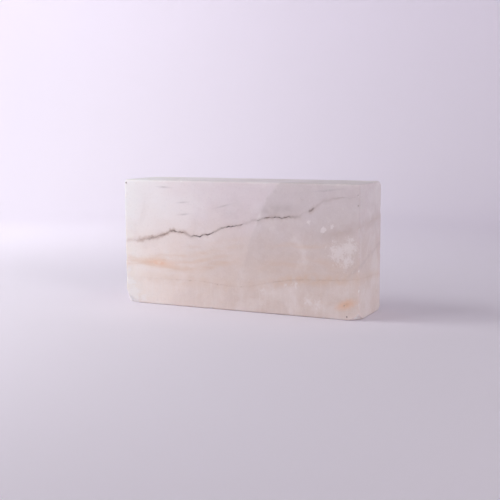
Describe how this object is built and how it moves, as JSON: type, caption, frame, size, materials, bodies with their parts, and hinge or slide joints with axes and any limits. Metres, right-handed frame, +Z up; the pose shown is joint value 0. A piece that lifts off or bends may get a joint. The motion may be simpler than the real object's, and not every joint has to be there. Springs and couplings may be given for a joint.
{
  "type": "rock salt block",
  "caption": "Sawn brick of natural translucent rock salt with dark clay seams, ochre bands and broken corners.",
  "frame": {"origin": "middle of the base, the face that the block stands on", "axes": "+X along the length, towards the end that the brown streak reaches; +Y through the thickness, from the front face to the back face; +Z up"},
  "size_m": [0.2, 0.05, 0.1],
  "materials": {
    "clear_salt": "sawn translucent rock salt, white to grey",
    "banded_salt": "sawn translucent rock salt with cream and ochre bands",
    "pink_salt": "sawn translucent rock salt, pale pink",
    "clay": "dark earthy clay",
    "ochre": "salt stained with ochre",
    "brown_stain": "salt stained brown",
    "iron_stain": "salt stained with iron",
    "dark_mineral": "dark earthy grains"
  },
  "bodies": {
    "root": {"upper_bed": "clear_salt", "middle_bed": "banded_salt", "base_bed": "pink_salt", "clay_seam": "clay", "clay_stringers": "clay", "ochre_seam": "ochre", "ochre_lens": "ochre", "brown_streak": "brown_stain", "iron_nodule": "iron_stain", "dark_grains": "dark_mineral"}
  },
  "joints": []
}
